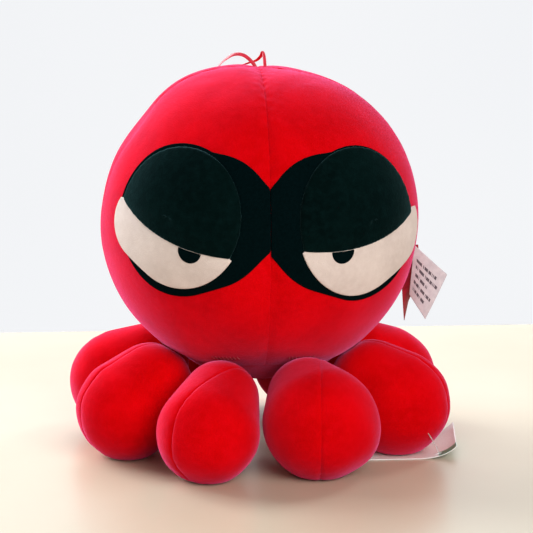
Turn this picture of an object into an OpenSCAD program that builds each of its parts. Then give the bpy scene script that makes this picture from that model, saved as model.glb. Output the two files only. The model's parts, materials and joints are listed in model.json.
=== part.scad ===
// Stuffed octopus: a round four-panel head on a ring of eight short, fat legs.
// Frame: +Z up, the face looks along -Y, origin on the floor under the middle of the head.
// Every leg hinges on the line of stitches that holds it to the underside of the head.

/* [Head] */
// Diameter of the stuffed head
head_d = 210; // [206:1:212]
// Height of the head's lowest point above the floor
head_lift = 45.6; // [45:0.2:47]
// Thickness of the plush fabric
fabric_t = 1.2; // [0.8:0.1:1.6]
// Height of the seam between the head's four panels and its base disc
base_seam_z = 62; // [56:1:66]

/* [Legs] */
// Distance from the middle axis to the centre of a leg's belly
belly_ring = 97; // [96:0.5:99]
// Height of a belly's centre above the floor
belly_z = 33; // [32:0.5:34]
// Radius of a standard belly, before it presses flat on the floor
belly_r = 35; // [34.5:0.1:35.3]
// Distance from the middle axis to the centre of a leg's shoulder
shoulder_ring = 79; // [78:0.5:80]
// Height of a shoulder's centre above the floor
shoulder_z = 46.5; // [45:0.5:48]
// Radius of a shoulder, where the leg tucks under the head
shoulder_r = 27.5; // [26:0.5:28]
// Radius of the thread roll that each leg is sewn on by
thread_r = 0.6; // [0.4:0.1:0.7]

/* [Eyes] */
// Thickness of the black felt under each eye
backing_t = 0.8; // [0.5:0.1:1]
// Thickness of the white of the eye
white_t = 0.8; // [0.5:0.1:1]
// Height of the padded eyelid's middle above the felt
lid_puff = 4.2; // [3:0.2:5]
// Radius of the pupil
pupil_r = 7.8; // [6:0.2:9]

/* [Trims] */
// Width of the sewn-in care label, along the side seam
label_h = 30; // [26:1:32]
// Thickness of the woven labels
label_t = 0.5; // [0.4:0.1:0.8]
// Thickness of the card swing tag
tag_t = 0.5; // [0.4:0.1:0.5]
// Depth of the card swing tag, front to back
tag_depth = 50; // [40:1:52]
// Thickness of the hanging ribbon's simple round stand-in
ribbon_d = 1.6; // [1.4:0.1:1.8]

/* [Hidden] */
$fn = 96;

head_r = head_d / 2;
head_z = head_lift + head_r;
stuffing_r = head_r - fabric_t;
big = 400;                      // larger than the toy, for cutting blocks
run = 0.35;                     // clearance between pieces that move apart
crease = 0.2;                   // keeps straight sides just inside the rounds that they join

// Legs, anticlockwise from above, starting at the front left leg
FRONT_LEFT = 0;
FRONT_RIGHT = 1;
SIDE_RIGHT = 2;
HIND_RIGHT = 3;
REAR_RIGHT = 4;
REAR_LEFT = 5;
HIND_LEFT = 6;
SIDE_LEFT = 7;
// Each leg's direction from the middle axis, in degrees from straight ahead
leg_angle = [-22.1, 19.8, 67, 112.5, 157.5, 202.5, 247.5, 292];
// How far each leg's sewn seam is turned from its outermost line
seam_turn = [-26, -24, 0, 0, 0, 0, 0, 0];
// Each belly's distance from the middle axis, height and radius, as the filling leaves them
leg_ring = [belly_ring + 6, belly_ring, belly_ring, belly_ring, belly_ring, belly_ring,
    belly_ring + 2.5, belly_ring - 1.5];
leg_belly_z = [belly_z - 2.5, belly_z + 1.4, belly_z, belly_z, belly_z, belly_z, belly_z, belly_z - 1.5];
leg_belly_r = [belly_r - 2, belly_r + 1.8, belly_r, belly_r, belly_r, belly_r, belly_r, belly_r - 1];
// Each sole's height: the side right foot stands on the swing tag
sole_z = [0, 0, tag_t + 0.2, 0, 0, 0, 0, 0];

// The fold line where a shoulder's top meets the head, found in the leg's own plane
fold_gap = norm([shoulder_ring, head_z - shoulder_z]);
fold_run = (head_r * head_r - shoulder_r * shoulder_r + fold_gap * fold_gap) / (2 * fold_gap);
fold_rise = sqrt(head_r * head_r - fold_run * fold_run);
toward_leg = [shoulder_ring, shoulder_z - head_z] / fold_gap;
fold_dir = ([toward_leg[0] * fold_run, toward_leg[1] * fold_run]
    + [-toward_leg[1] * fold_rise, toward_leg[0] * fold_rise]) / head_r;
thread_ring = fold_dir[0] * (head_r + thread_r + 0.05);
thread_z = head_z + fold_dir[1] * (head_r + thread_r + 0.05);
thread_len = 20;
groove_r = thread_r + 0.6;

// Eyes are laid out on a plane that faces out along each eye's own direction
eye_yaw = 37;
LEFT = 0;
RIGHT = 1;
// Middle and radius of each felt backing's round part
backing_mid = [[-3, 14], [-1, 10.5]];
backing_r = [47, 49];
// The backing narrows to this small circle, past the nose seam
nose_mid = [-75, 16.5];
nose_r = 5;
// Middle and radius of each white and of its outer corner
white_mid = [[-5, 15], [-3.5, 10.5]];
white_r = [43.5, 45.5];
corner_mid = [[27, 9], [33, 5]];
corner_r = [22.5, 25];
// The eyelid covers the white above one long arc, which droops towards the nose
lid_mid = [[-3, 15], [-2, 11.5]];
lid_r = [43.7, 45.7];
lid_arc_r = 152;
lid_arc_mid = [[-51, 145], [-25, 148]];
pupil_mid = [[-16.3, -3], [-21.3, -4]];

// ---- shared shapes ----

// Two circles joined by straight sides that almost touch both, just inside them
module pebble(mid_a, r_a, mid_b, r_b) {
    gap = norm(mid_b - mid_a);
    along = (mid_b - mid_a) / gap;
    lean = (r_a - r_b) / gap;
    rise = sqrt(1 - lean * lean);
    up = [along[0] * lean - along[1] * rise, along[1] * lean + along[0] * rise];
    down = [along[0] * lean + along[1] * rise, along[1] * lean - along[0] * rise];
    side_a = r_a - crease;
    side_b = r_b - crease;
    union() {
        translate(mid_a) circle(r_a);
        translate(mid_b) circle(r_b);
        polygon([mid_a + up * side_a, mid_a + down * side_a, mid_b + down * side_b, mid_b + up * side_b]);
    }
}

// A thin layer of the head's own curve between two radii
module head_layer(inner_r, outer_r) {
    translate([0, 0, head_z]) difference() {
        sphere(outer_r);
        sphere(inner_r);
    }
}

// One quarter of space, between the front, side and rear seams; sx and sy pick the quarter
module quarter(sx, sy) {
    translate([sx > 0 ? 0 : -big, sy > 0 ? 0 : -big, base_seam_z]) cube(big);
}

// ---- head ----

module head_panel(sx, sy) {
    color("crimson") intersection() {
        head_layer(stuffing_r, head_r);
        quarter(sx, sy);
    }
}

module head_front_left_panel() { head_panel(-1, -1); }
module head_front_right_panel() { head_panel(1, -1); }
module head_rear_left_panel() { head_panel(-1, 1); }
module head_rear_right_panel() { head_panel(1, 1); }

module head_base_disc() {
    color("firebrick") intersection() {
        head_layer(stuffing_r, head_r);
        translate([-big / 2, -big / 2, base_seam_z - big]) cube(big);
    }
}

module head_stuffing() {
    color("ivory") translate([0, 0, head_z]) sphere(stuffing_r);
}

// ---- eyes ----

// Stands an eye's drawing up in front of the head; the right eye's drawing is the mirrored one
module eye_frame(side) {
    turn = side == LEFT ? -eye_yaw : eye_yaw;
    flip = side == LEFT ? 1 : 0;
    translate([0, 0, head_z]) rotate([0, 0, turn]) rotate([90, 0, 0])
        mirror([flip, 0, 0]) linear_extrude(head_r + 20) children();
}

module backing_outline(side) { pebble(backing_mid[side], backing_r[side], nose_mid, nose_r); }

module white_outline(side) {
    intersection() {
        pebble(white_mid[side], white_r[side], corner_mid[side], corner_r[side]);
        union() {
            backing_outline(side);
            translate(corner_mid[side]) circle(corner_r[side] + 3);
        }
    }
}

module lid_outline(side) {
    intersection() {
        translate(lid_mid[side]) circle(lid_r[side]);
        translate(lid_arc_mid[side]) circle(lid_arc_r);
    }
}

module own_side(side) {
    translate([side == LEFT ? -big : 0, -big, 0]) cube(big);
}

white_in = head_r + backing_t;
white_out = white_in + white_t;

module eye_backing(side) {
    color("black") intersection() {
        head_layer(head_r, white_in);
        eye_frame(side) backing_outline(side);
        own_side(side);
    }
}

module eye_white(side) {
    color("seashell") intersection() {
        head_layer(white_in, white_out);
        eye_frame(side) white_outline(side);
    }
}

// The padded lid is the crown of a smaller ball pushed out past the felt
module eyelid(side) {
    ball_r = 85;
    turn = side == LEFT ? -eye_yaw : eye_yaw;
    push = white_in + lid_puff - ball_r;
    mid = lid_mid[side];
    face = [(side == LEFT ? -1 : 1) * mid[0], -sqrt(head_r * head_r - mid * mid), mid[1]] / head_r;
    color("dimgray") difference() {
        intersection() {
            translate([0, 0, head_z]) rotate([0, 0, turn]) translate(push * face) sphere(ball_r);
            eye_frame(side) lid_outline(side);
        }
        translate([0, 0, head_z]) sphere(white_out);
    }
}

module pupil(side) {
    color("black") intersection() {
        head_layer(white_out, white_out + 0.6);
        eye_frame(side) difference() {
            translate(pupil_mid[side]) circle(pupil_r);
            lid_outline(side);
        }
    }
}

module left_eye_backing() { eye_backing(LEFT); }
module right_eye_backing() { eye_backing(RIGHT); }
module left_eye_white() { eye_white(LEFT); }
module right_eye_white() { eye_white(RIGHT); }
module left_eyelid() { eyelid(LEFT); }
module right_eyelid() { eyelid(RIGHT); }
module left_pupil() { pupil(LEFT); }
module right_pupil() { pupil(RIGHT); }

// ---- legs ----

module leg_place(leg) { rotate([0, 0, leg_angle[leg]]) children(); }

// A leg is a belly and a smaller shoulder joined by a cone, in its own plane with -Y outwards.
// inset shrinks every face, which gives the stuffing inside the fabric.
module leg_body(leg, inset) {
    belly = leg_belly_r[leg] - inset;
    shoulder = shoulder_r - inset;
    mid = [0, -leg_ring[leg], leg_belly_z[leg]];
    drop = [shoulder_ring - leg_ring[leg], shoulder_z - leg_belly_z[leg]];
    gap = norm(drop);
    lean = (belly - shoulder) / gap;
    rise = sqrt(1 - lean * lean);
    tilt = atan2(-drop[0], drop[1]);
    difference() {
        union() {
            translate(mid) sphere(belly);
            translate([0, -shoulder_ring, shoulder_z]) sphere(shoulder);
            translate(mid) rotate([-tilt, 0, 0]) translate([0, 0, belly * lean])
                cylinder(h = gap + (shoulder - belly) * lean,
                    r1 = belly * rise - crease, r2 = shoulder * rise - crease);
        }
        translate([0, 0, head_z]) sphere(head_r + run + inset);
        translate([-big / 2, -big / 2, sole_z[leg] + inset - big]) cube(big);
        translate([0, -thread_ring, thread_z]) rotate([0, 90, 0])
            cylinder(h = thread_len + 8, r = groove_r + inset, center = true);
    }
}

// side is -1 for the panel on the image left of the seam and 1 for the other
module leg_panel(leg, side) {
    color(side < 0 ? "red" : "crimson") leg_place(leg) intersection() {
        difference() {
            leg_body(leg, 0);
            leg_body(leg, fabric_t);
        }
        translate([0, -leg_ring[leg], 0]) rotate([0, 0, seam_turn[leg]])
            translate([side < 0 ? -big : 0, -big / 2, -1]) cube(big);
    }
}

module leg_stuffing(leg) {
    color("ivory") leg_place(leg) leg_body(leg, fabric_t);
}

module leg_attachment_threads() {
    color("darkred") for (leg = [FRONT_LEFT : SIDE_LEFT]) leg_place(leg)
        translate([0, -thread_ring, thread_z]) rotate([0, 90, 0])
            cylinder(h = thread_len, r = thread_r, center = true);
}

module front_left_leg_left_panel() { leg_panel(FRONT_LEFT, -1); }
module front_left_leg_right_panel() { leg_panel(FRONT_LEFT, 1); }
module front_left_leg_stuffing() { leg_stuffing(FRONT_LEFT); }
module front_right_leg_left_panel() { leg_panel(FRONT_RIGHT, -1); }
module front_right_leg_right_panel() { leg_panel(FRONT_RIGHT, 1); }
module front_right_leg_stuffing() { leg_stuffing(FRONT_RIGHT); }
module side_right_leg_left_panel() { leg_panel(SIDE_RIGHT, -1); }
module side_right_leg_right_panel() { leg_panel(SIDE_RIGHT, 1); }
module side_right_leg_stuffing() { leg_stuffing(SIDE_RIGHT); }
module hind_right_leg_left_panel() { leg_panel(HIND_RIGHT, -1); }
module hind_right_leg_right_panel() { leg_panel(HIND_RIGHT, 1); }
module hind_right_leg_stuffing() { leg_stuffing(HIND_RIGHT); }
module rear_right_leg_left_panel() { leg_panel(REAR_RIGHT, -1); }
module rear_right_leg_right_panel() { leg_panel(REAR_RIGHT, 1); }
module rear_right_leg_stuffing() { leg_stuffing(REAR_RIGHT); }
module rear_left_leg_left_panel() { leg_panel(REAR_LEFT, -1); }
module rear_left_leg_right_panel() { leg_panel(REAR_LEFT, 1); }
module rear_left_leg_stuffing() { leg_stuffing(REAR_LEFT); }
module hind_left_leg_left_panel() { leg_panel(HIND_LEFT, -1); }
module hind_left_leg_right_panel() { leg_panel(HIND_LEFT, 1); }
module hind_left_leg_stuffing() { leg_stuffing(HIND_LEFT); }
module side_left_leg_left_panel() { leg_panel(SIDE_LEFT, -1); }
module side_left_leg_right_panel() { leg_panel(SIDE_LEFT, 1); }
module side_left_leg_stuffing() { leg_stuffing(SIDE_LEFT); }

// ---- hanging ribbon ----

// Route of the ribbon: up out of the crown seam, over to the left, down behind the crown,
// round in a loose loop on the back of the head, and up again to the second sewn end
ribbon_route = [
    [-1.5, 2, 256.8], [-3.4, 3.2, 259.2], [-6.3, 4.6, 261.4], [-9.3, 6.4, 263], [-12.8, 8.6, 263.6],
    [-16.4, 11, 262.6], [-19.8, 13.6, 260.2], [-22.6, 16.6, 257.2], [-24.6, 20.4, 254],
    [-26.4, 25.6, 250.8], [-27.4, 32, 248.2], [-25, 38.2, 246.6], [-19.4, 40.8, 247.2],
    [-13.6, 37.2, 249.8], [-9.2, 30.4, 253], [-6, 22.6, 255.9], [-3, 15.4, 258.8],
    [0.4, 9.8, 262], [2.8, 6.2, 263.4], [4.4, 3.8, 260.6], [4.5, 2, 256.8]
];
ribbon_steps = 2;               // rings for each stretch between two route points
ribbon_sides = 8;

// Smooth curve through the route, at fraction t of the way from point k to the next
function route_at(k, t) =
    let (last = len(ribbon_route) - 1)
    let (a = ribbon_route[max(k - 1, 0)], b = ribbon_route[k])
    let (c = ribbon_route[min(k + 1, last)], d = ribbon_route[min(k + 2, last)])
    0.5 * (2 * b + (c - a) * t + (2 * a - 5 * b + 4 * c - d) * t * t
        + (3 * b - 3 * c + d - a) * t * t * t);
function unit(v) = v / norm(v);
// A ring's two axes, both square to the route there
function ring_side(dir, side) = unit(side - (side * dir) * dir);

module hanging_loop() {
    last = len(ribbon_route) - 1;
    path = concat([for (k = [0 : last - 1], s = [0 : ribbon_steps - 1]) route_at(k, s / ribbon_steps)],
        [ribbon_route[last]]);
    rings = len(path);
    dirs = [for (i = [0 : rings - 1]) unit(path[min(i + 1, rings - 1)] - path[max(i - 1, 0)])];
    // The outward direction of the head keeps the rings from twisting
    sides = [for (i = [0 : rings - 1]) ring_side(dirs[i], cross(dirs[i], [0.3, 1, 0.2]))];
    skin = [for (i = [0 : rings - 1], j = [0 : ribbon_sides - 1])
        let (a = 360 * j / ribbon_sides)
        path[i] + ribbon_d / 2 * (cos(a) * sides[i] + sin(a) * cross(dirs[i], sides[i]))];
    walls = [for (i = [0 : rings - 2], j = [0 : ribbon_sides - 1])
        let (n = (j + 1) % ribbon_sides, lo = i * ribbon_sides, hi = lo + ribbon_sides)
        [lo + j, hi + j, hi + n, lo + n]];
    caps = [[for (j = [0 : ribbon_sides - 1]) j],
        [for (j = [ribbon_sides - 1 : -1 : 0]) (rings - 1) * ribbon_sides + j]];
    color("red") polyhedron(points = skin, faces = concat(walls, caps), convexity = 6);
}

// ---- sewn labels and swing tag ----

seam_top_z = 133;               // where both labels enter the right side seam
label_reach = 126.5;            // how far the care label's free corner stands out
seam_low_z = seam_top_z - label_h;

// Cuts a label to the head's curve, so it starts just outside the fabric
module clear_of_head() {
    difference() {
        children();
        translate([0, 0, head_z]) sphere(head_r + run);
    }
}

module care_label() {
    color("whitesmoke") clear_of_head() translate([0, label_t / 2, 0]) rotate([90, 0, 0])
        linear_extrude(label_t)
        polygon([[98, seam_top_z + 1], [103.5, seam_top_z], [label_reach, 111.5], [112.5, 81],
            [94, seam_low_z], [90, seam_low_z + 2]]);
}

module side_ribbon() {
    color("darkred") clear_of_head() translate([0, 2.2 + label_t, 0]) rotate([90, 0, 0])
        linear_extrude(label_t)
        polygon([[98, seam_top_z - 1], [103.4, seam_top_z - 2], [106, 122], [105.5, 106],
            [101, 80], [97, 80], [97.5, 100], [98, seam_low_z + 11]]);
}

tag_left = 58;                  // the tag lies flat from here
tag_bend_x = 101;                // and curls up from here
tag_right = 126;
tag_front = -59;
tag_curl_r = 26;
tag_hole = [115.5, -54.5];
hole_r = 1.5;
pin_r = 0.35;

// Height of the curl's underside above the floor
function curl_z(x) = tag_curl_r - sqrt(pow(tag_curl_r, 2) - pow(max(x - tag_bend_x, 0), 2));

module swing_tag() {
    steps = 10;
    bend = [for (k = [0 : steps]) asin((tag_right - tag_bend_x) / tag_curl_r) * k / steps];
    under = [for (a = bend) [tag_bend_x + tag_curl_r * sin(a), tag_curl_r * (1 - cos(a))]];
    over = [for (k = [steps : -1 : 0]) let (r = tag_curl_r - tag_t)
        [tag_bend_x + r * sin(bend[k]), tag_curl_r - r * cos(bend[k])]];
    color("white") difference() {
        translate([0, tag_front + tag_depth, 0]) rotate([90, 0, 0]) linear_extrude(tag_depth)
            polygon(concat([[tag_left, 0]], under, over, [[tag_left, tag_t]]));
        translate([tag_hole[0], tag_hole[1], -1]) cylinder(h = 20, r = hole_r);
    }
}

// The nylon pin runs from inside the side right leg, through the tag's hole, to a small bar
module tag_pin() {
    inner = [101.5, -67.8, 25.2];
    outer = [tag_hole[0], tag_hole[1], curl_z(tag_hole[0]) - 1.2];
    reach = outer - inner;
    color("white") {
        translate(inner) rotate([0, acos(reach[2] / norm(reach)), atan2(reach[1], reach[0])])
            cylinder(h = norm(reach), r = pin_r, $fn = 24);
        translate(outer) rotate([90, 0, 0]) cylinder(h = 5, r = pin_r + 0.1, center = true, $fn = 24);
    }
}

head_front_left_panel();
head_front_right_panel();
head_rear_left_panel();
head_rear_right_panel();
head_base_disc();
head_stuffing();
left_eye_backing();
left_eye_white();
left_eyelid();
left_pupil();
right_eye_backing();
right_eye_white();
right_eyelid();
right_pupil();
leg_attachment_threads();
front_left_leg_left_panel();
front_left_leg_right_panel();
front_left_leg_stuffing();
front_right_leg_left_panel();
front_right_leg_right_panel();
front_right_leg_stuffing();
side_right_leg_left_panel();
side_right_leg_right_panel();
side_right_leg_stuffing();
hind_right_leg_left_panel();
hind_right_leg_right_panel();
hind_right_leg_stuffing();
rear_right_leg_left_panel();
rear_right_leg_right_panel();
rear_right_leg_stuffing();
rear_left_leg_left_panel();
rear_left_leg_right_panel();
rear_left_leg_stuffing();
hind_left_leg_left_panel();
hind_left_leg_right_panel();
hind_left_leg_stuffing();
side_left_leg_left_panel();
side_left_leg_right_panel();
side_left_leg_stuffing();
hanging_loop();
care_label();
side_ribbon();
tag_pin();
swing_tag();
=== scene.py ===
"""Stuffed plush octopus: the visible model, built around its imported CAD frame."""

import json
import math

import bpy
import numpy as np
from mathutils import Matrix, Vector
from mathutils.bvhtree import BVHTree


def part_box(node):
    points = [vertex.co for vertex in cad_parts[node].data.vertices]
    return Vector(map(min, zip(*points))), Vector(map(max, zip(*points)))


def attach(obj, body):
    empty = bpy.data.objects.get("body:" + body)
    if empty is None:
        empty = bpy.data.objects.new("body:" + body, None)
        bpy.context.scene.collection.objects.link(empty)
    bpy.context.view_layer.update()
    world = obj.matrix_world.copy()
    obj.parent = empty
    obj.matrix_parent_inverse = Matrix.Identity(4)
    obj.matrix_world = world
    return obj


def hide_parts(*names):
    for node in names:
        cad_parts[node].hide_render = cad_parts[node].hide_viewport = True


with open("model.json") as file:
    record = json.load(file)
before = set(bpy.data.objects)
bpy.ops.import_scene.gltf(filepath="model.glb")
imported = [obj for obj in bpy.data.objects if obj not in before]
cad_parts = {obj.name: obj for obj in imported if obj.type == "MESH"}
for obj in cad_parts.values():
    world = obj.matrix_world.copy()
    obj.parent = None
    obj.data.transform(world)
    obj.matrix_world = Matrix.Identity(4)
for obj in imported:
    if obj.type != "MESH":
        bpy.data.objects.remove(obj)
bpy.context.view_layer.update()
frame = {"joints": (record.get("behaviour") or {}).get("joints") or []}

MM = 0.001

# ---- places and sizes, in metres, in the CAD frame ----

low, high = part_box("head_stuffing")
FABRIC = 1.2 * MM
SEAM_GAP = 0.01 * MM                      # between two panels along their seam
BALL = (high.x - low.x) / 2 + FABRIC      # radius of the CAD head
HEAD = np.array((low + high) / 2) + np.array([0.6, 0, 0]) * MM    # it settles a little sideways
HEAD_WIDE = 105.2 * MM                    # the stuffed head is a little wider than tall
HEAD_TALL = 102.5 * MM
HEAD_DEEP = 103.5 * MM                    # from its middle down to its lowest point
# Where the filling has settled: direction, height in millimetres and spread in radians
SETTLED = [((-0.5, 0, 0.87), 3.1, 0.28), ((-0.8, 0, 0.6), -2.7, 0.26),
           ((-0.99, 0, -0.1), 1.4, 0.22), ((0.85, 0, 0.52), 2.2, 0.3),
           ((0.87, 0, -0.5), -3.0, 0.22)]
BASE_TILT = math.radians(32.5)            # the base disc's edge, seen from the head's middle

SHOULDER = np.array([0, -79, 46.5]) * MM  # a leg points along -Y before it is turned
SHOULDER_R = 27.5 * MM
# Leg: its belly's distance from the middle axis, height and radius, the turn of its sewn
# seam and the height of its sole. Lengths are in millimetres.
LEGS = {
    "front_left": (103, 30.5, 33, -26, 0.0),
    "front_right": (97, 34.4, 36.8, -24, 0.0),
    "side_right": (97, 33, 35, 0, 0.7),
    "hind_right": (97, 33, 35, 0, 0.0),
    "rear_right": (97, 33, 35, 0, 0.0),
    "rear_left": (97, 33, 35, 0, 0.0),
    "hind_left": (99.5, 33, 35, 0, 0.0),
    "side_left": (95.5, 31.5, 34, 0, 0.0),
}
SLIM = {"front_left": 2.5, "front_right": 1.0}    # how much slimmer a shoulder is, in millimetres
# A bulge low on a leg's side: direction in its own plane, height in millimetres, spread
BULGES = {"front_right": ((0.85, -0.35, -0.35), 3.4, 0.5)}
FOLDS = {
    j["child"][:-4]: np.array(j["pos_m"])
    for j in frame["joints"]
    if j["name"].endswith("_leg_lift")
}


# ---- camera ----

view_from = np.radians([-4.0, 10.0])      # azimuth and elevation
spot = Vector(HEAD) + 1.6 * Vector((
    math.sin(view_from[0]) * math.cos(view_from[1]),
    -math.cos(view_from[0]) * math.cos(view_from[1]),
    math.sin(view_from[1]),
))
aim = Vector((0.0053, 0, 0.1184))
camera = bpy.data.objects.new("camera", bpy.data.cameras.new("camera"))
bpy.context.scene.collection.objects.link(camera)
camera.data.sensor_width = 36
camera.data.lens = 163
camera.data.clip_end = 20
camera.location = spot
camera.rotation_mode = "QUATERNION"
camera.rotation_quaternion = (aim - spot).to_track_quat("-Z", "Y")
bpy.context.scene.camera = camera


# ---- mesh helpers ----

def turn_z(points, angle):
    c, s = math.cos(angle), math.sin(angle)
    return points @ np.array([[c, s, 0], [-s, c, 0], [0, 0, 1]])


def unit(v):
    return v / np.linalg.norm(v, axis=-1, keepdims=True)


def add_mesh(name, points, faces, smooth=True, mats=(), indices=None, sharp=()):
    mesh = bpy.data.meshes.new(name)
    mesh.from_pydata([tuple(p) for p in points], [], [tuple(f) for f in faces])
    mesh.polygons.foreach_set("use_smooth", [smooth] * len(mesh.polygons))
    for m in mats:
        mesh.materials.append(m)
    if indices is not None:
        mesh.polygons.foreach_set("material_index", indices)
    mesh.update()
    if sharp:
        wanted = {tuple(sorted(e)) for e in sharp}
        marks = [tuple(sorted(e.vertices)) in wanted for e in mesh.edges]
        mesh.attributes.new("sharp_edge", "BOOLEAN", "EDGE").data.foreach_set("value", marks)
    obj = bpy.data.objects.new(name, mesh)
    bpy.context.scene.collection.objects.link(obj)
    return obj


def place(obj, body, slot, *nodes):
    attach(obj, body)
    if nodes:
        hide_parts(*nodes)
    return obj


def waves(points, length, seed, count=7):
    """Smooth unevenness from about -1 to 1, with features of that length."""
    rng = np.random.default_rng(seed)
    ways = unit(rng.normal(size=(count, 3))) * rng.uniform(0.7, 1.4, (count, 1))
    shift = rng.uniform(0, 2 * math.pi, count)
    return np.sin(points @ ways.T * 2 * math.pi / length + shift).sum(1) / math.sqrt(count)


def quad_ball(m, rows, top, bottom, crowd=0.0):
    """Unit directions and quads of a ball with 4m columns and two square-grid caps.
    Its edge loops include the planes x = 0 and y = 0; crowd draws loops towards them.
    The last value is each quad's panel: 0 to 3 for the quarters and 4 for the lower cap."""
    def squeeze(a):
        return a - crowd * np.sin(4 * a)
    across = squeeze(-math.pi / 4 + math.pi / 2 * np.arange(m + 1) / m)
    columns = squeeze(-math.pi / 4 + math.pi / 2 * np.arange(4 * m) / m)
    polar = np.linspace(top, math.pi - bottom, rows + 1)
    dirs = [
        np.stack([np.sin(t) * np.cos(columns), np.sin(t) * np.sin(columns),
                  np.full(4 * m, np.cos(t))], 1)
        for t in polar
    ]
    dirs = list(np.concatenate(dirs))
    quads, panel = [], []

    def quarter(q):
        mid = sum(dirs[i] for i in q)
        return int(mid[0] > 0) + 2 * int(mid[1] > 0)

    for r in range(rows):
        for c in range(4 * m):
            a, b = r * 4 * m + c, r * 4 * m + (c + 1) % (4 * m)
            quads.append((a, a + 4 * m, b + 4 * m, b))
            panel.append(quarter(quads[-1]))
    for up, ring, edge in ((1, 0, top), (-1, rows, bottom)):
        ids = {}
        for i in range(m + 1):
            for j in range(m + 1):
                if i == m:
                    c = j
                elif j == m:
                    c = 2 * m - i
                elif i == 0:
                    c = 3 * m - j
                elif j == 0:
                    c = 3 * m + i
                else:
                    x = math.sqrt(2) * math.sin(across[i]) * math.cos(across[j])
                    y = math.sqrt(2) * math.sin(across[j]) * math.cos(across[i])
                    far = math.hypot(x, y)
                    t = far * edge
                    k = math.sin(t) / far if far > 1e-9 else 0
                    ids[i, j] = len(dirs)
                    dirs.append(np.array([k * x, k * y, up * math.cos(t)]))
                    continue
                ids[i, j] = ring * 4 * m + c % (4 * m)
        for i in range(m):
            for j in range(m):
                q = (ids[i, j], ids[i + 1, j], ids[i + 1, j + 1], ids[i, j + 1])
                quads.append(q if up > 0 else q[::-1])
                panel.append(quarter(q) if up > 0 else 4)
    return np.array(dirs), quads, panel


def made_mesh(obj):
    """An object's mesh after its modifiers, and its points."""
    mesh = obj.evaluated_get(bpy.context.evaluated_depsgraph_get()).data
    co = np.zeros(len(mesh.vertices) * 3, np.float32)
    mesh.vertices.foreach_get("co", co)
    return mesh, co.reshape(-1, 3).astype(float)


def subdivide(points, quads, panel, levels):
    """Catmull-Clark points, quads and panels."""
    obj = add_mesh("work", points, quads, mats=[None] * 5, indices=panel)
    mod = obj.modifiers.new("smooth", "SUBSURF")
    mod.levels = mod.render_levels = levels
    made, co = made_mesh(obj)
    corners = np.zeros(len(made.loops), np.int32)
    made.loops.foreach_get("vertex_index", corners)
    index = np.zeros(len(made.polygons), np.int32)
    made.polygons.foreach_get("material_index", index)
    bpy.data.objects.remove(obj)
    return co, corners.reshape(-1, 4), index


def vertex_normals(points, quads):
    a, b, c, d = (points[quads[:, i]] for i in range(4))
    flat = np.cross(c - a, d - b)
    total = np.zeros_like(points)
    for i in range(4):
        np.add.at(total, quads[:, i], flat)
    return unit(total)


def cut_panel(points, normals, quads, thick, gap):
    """One closed panel of fabric: its outer face, its inner face and the cut edge between.
    gap draws the cut edge back from the seam line."""
    used, local = np.unique(quads, return_inverse=True)
    local = local.reshape(quads.shape)
    outer, n = points[used].copy(), normals[used]
    edges = np.concatenate([local[:, [i, (i + 1) % 4]] for i in range(4)])
    known = {tuple(e) for e in edges}
    rim = [e for e in map(tuple, edges) if e[::-1] not in known]
    pull = np.zeros_like(outer)
    mid = outer[local].mean(1)
    for i in range(4):
        np.add.at(pull, local[:, i], mid - outer[local[:, i]])
    edge_ids = np.unique([i for e in rim for i in e])
    outer[edge_ids] += gap * unit(pull[edge_ids])
    count = len(outer)
    inner = outer - thick * n
    faces = local.tolist() + (local[:, ::-1] + count).tolist()
    faces += [(b, a, a + count, b + count) for a, b in rim]
    return np.concatenate([outer, inner]), faces, rim + [(a + count, b + count) for a, b in rim]


def tube(points, radius, sides=8):
    """Points and faces of a closed round tube along a line."""
    points = np.array(points, float)
    ways = unit(np.gradient(points, axis=0))
    side = np.cross(ways[0], [0.31, 0.2, 0.93])
    rings = []
    for p, w in zip(points, ways):
        side = unit(side - (side @ w) * w)
        other = np.cross(w, side)
        a = 2 * math.pi * np.arange(sides) / sides
        rings.append(p + radius * (np.outer(np.cos(a), side) + np.outer(np.sin(a), other)))
    return np.concatenate(rings), tube_faces(len(points), sides)


def tube_faces(rings, sides):
    faces = [
        (i * sides + j, i * sides + (j + 1) % sides,
         (i + 1) * sides + (j + 1) % sides, (i + 1) * sides + j)
        for i in range(rings - 1) for j in range(sides)
    ]
    last = (rings - 1) * sides
    return faces + [tuple(range(sides))[::-1], tuple(range(last, last + sides))]


def join_parts(parts):
    """One list of points and faces from several."""
    points, faces = [], []
    for p, f in parts:
        shift = sum(len(x) for x in points)
        points.append(np.array(p))
        faces += [tuple(i + shift for i in face) for face in f]
    return np.concatenate(points), faces


def smooth_line(route, steps):
    """Catmull-Rom curve through a route, steps points for each stretch."""
    route = np.array(route, float)
    ends = np.concatenate([route[:1], route, route[-1:]])
    made = []
    for k in range(len(route) - 1):
        a, b, c, d = ends[k:k + 4]
        for t in np.arange(steps) / steps:
            made.append(0.5 * (2 * b + (c - a) * t + (2 * a - 5 * b + 4 * c - d) * t**2
                               + (3 * b - 3 * c + d - a) * t**3))
    return np.array(made + [route[-1]])


# ---- materials ----

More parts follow.
